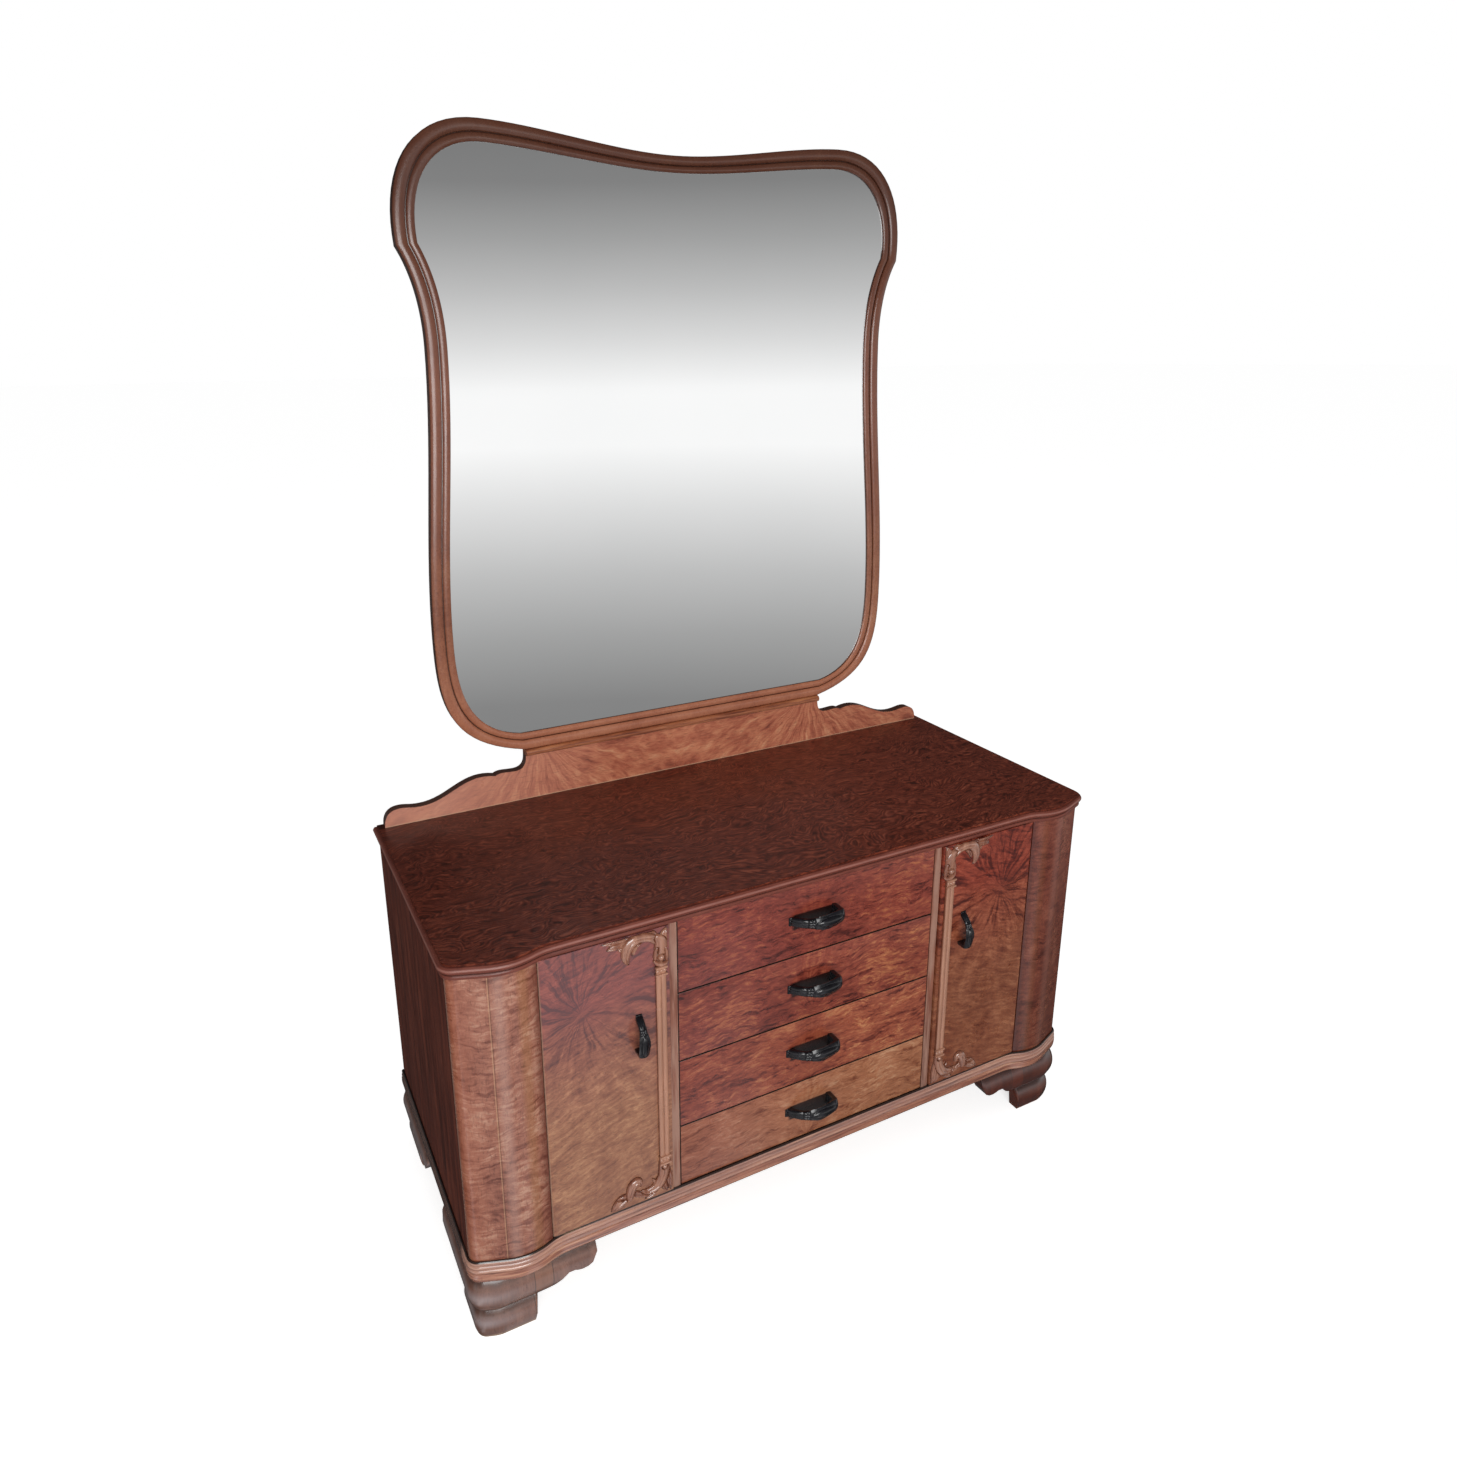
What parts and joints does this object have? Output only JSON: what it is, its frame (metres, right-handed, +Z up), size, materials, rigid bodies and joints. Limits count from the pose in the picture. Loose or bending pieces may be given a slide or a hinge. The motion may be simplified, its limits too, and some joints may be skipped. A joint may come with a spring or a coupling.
{
  "type": "mirrored dressing table",
  "caption": "Low walnut dressing chest with a centre bank of drawers between two cupboard doors, serpentine corner columns, ogee bracket feet and a shaped mirror on a gallery.",
  "frame": {"origin": "middle of the footprint on the floor", "axes": "+X to the right seen from the front, +Y to the back, +Z up; the drawers face -Y"},
  "size_m": [1.253, 0.5671, 1.8845],
  "materials": {
    "walnut": "varnished walnut, satin gloss",
    "dark_walnut": "dark stained walnut veneer, satin gloss",
    "burr_walnut": "flame-figured walnut veneer, polished",
    "figured_walnut": "book-matched walnut veneer, polished",
    "carcass_board": "veneered carcass board",
    "hardwood": "plain unvarnished beech",
    "thin_board": "thin plywood",
    "silvered_mirror": "silvered plate glass",
    "dark_pull": "glossy near-black moulded pull",
    "brass_fitting": "plain brass"
  },
  "bodies": {
    "carcass": {"back_panel": "thin_board", "base_rail_front": "walnut", "base_rail_left": "walnut", "base_rail_rear": "hardwood", "base_rail_right": "walnut", "bottom_board": "carcass_board", "corner_column_left": "walnut", "corner_column_right": "walnut", "door_catches": "brass_fitting", "drawer_runners_left": "hardwood", "drawer_runners_right": "hardwood", "front_foot_left": "walnut", "front_foot_right": "walnut", "gallery_board": "walnut", "left_pivot_pins": "brass_fitting", "mirror_backing": "thin_board", "mirror_battens": "hardwood", "mirror_frame": "walnut", "mirror_glass": "silvered_mirror", "mirror_rest": "walnut", "partition_left": "carcass_board", "partition_right": "carcass_board", "rear_foot_left": "walnut", "rear_foot_right": "walnut", "right_pivot_pins": "brass_fitting", "shelf_cleats": "hardwood", "shelf_left": "carcass_board", "shelf_right": "carcass_board", "side_panel_left": "dark_walnut", "side_panel_right": "dark_walnut", "top_board": "dark_walnut"},
    "lower_drawer": {"lower_drawer_back": "hardwood", "lower_drawer_bottom": "thin_board", "lower_drawer_front": "figured_walnut", "lower_drawer_pull": "dark_pull", "lower_drawer_sides": "hardwood"},
    "third_drawer": {"third_drawer_back": "hardwood", "third_drawer_bottom": "thin_board", "third_drawer_front": "figured_walnut", "third_drawer_pull": "dark_pull", "third_drawer_sides": "hardwood"},
    "second_drawer": {"second_drawer_back": "hardwood", "second_drawer_bottom": "thin_board", "second_drawer_front": "figured_walnut", "second_drawer_pull": "dark_pull", "second_drawer_sides": "hardwood"},
    "upper_drawer": {"upper_drawer_back": "hardwood", "upper_drawer_bottom": "thin_board", "upper_drawer_front": "figured_walnut", "upper_drawer_pull": "dark_pull", "upper_drawer_sides": "hardwood"},
    "left_door": {"left_door_bead": "walnut", "left_door_panel": "burr_walnut", "left_door_pull": "dark_pull", "left_pivot_plates": "brass_fitting"},
    "right_door": {"right_door_bead": "walnut", "right_door_panel": "burr_walnut", "right_door_pull": "dark_pull", "right_pivot_plates": "brass_fitting"}
  },
  "joints": [
    {"name": "lower_drawer_slide", "type": "slide", "parent": "carcass", "child": "lower_drawer", "axis": [0, -1, 0], "range_m": [0, 0.36]},
    {"name": "third_drawer_slide", "type": "slide", "parent": "carcass", "child": "third_drawer", "axis": [0, -1, 0], "range_m": [0, 0.36]},
    {"name": "second_drawer_slide", "type": "slide", "parent": "carcass", "child": "second_drawer", "axis": [0, -1, 0], "range_m": [0, 0.36]},
    {"name": "upper_drawer_slide", "type": "slide", "parent": "carcass", "child": "upper_drawer", "axis": [0, -1, 0], "range_m": [0, 0.36]},
    {"name": "left_door_hinge", "type": "hinge", "parent": "carcass", "child": "left_door", "pos_m": [-0.481, -0.24725, 0.41], "axis": [0, 0, -1], "range_deg": [0, 100]},
    {"name": "right_door_hinge", "type": "hinge", "parent": "carcass", "child": "right_door", "pos_m": [0.481, -0.24725, 0.41], "axis": [0, 0, 1], "range_deg": [0, 100]}
  ]
}
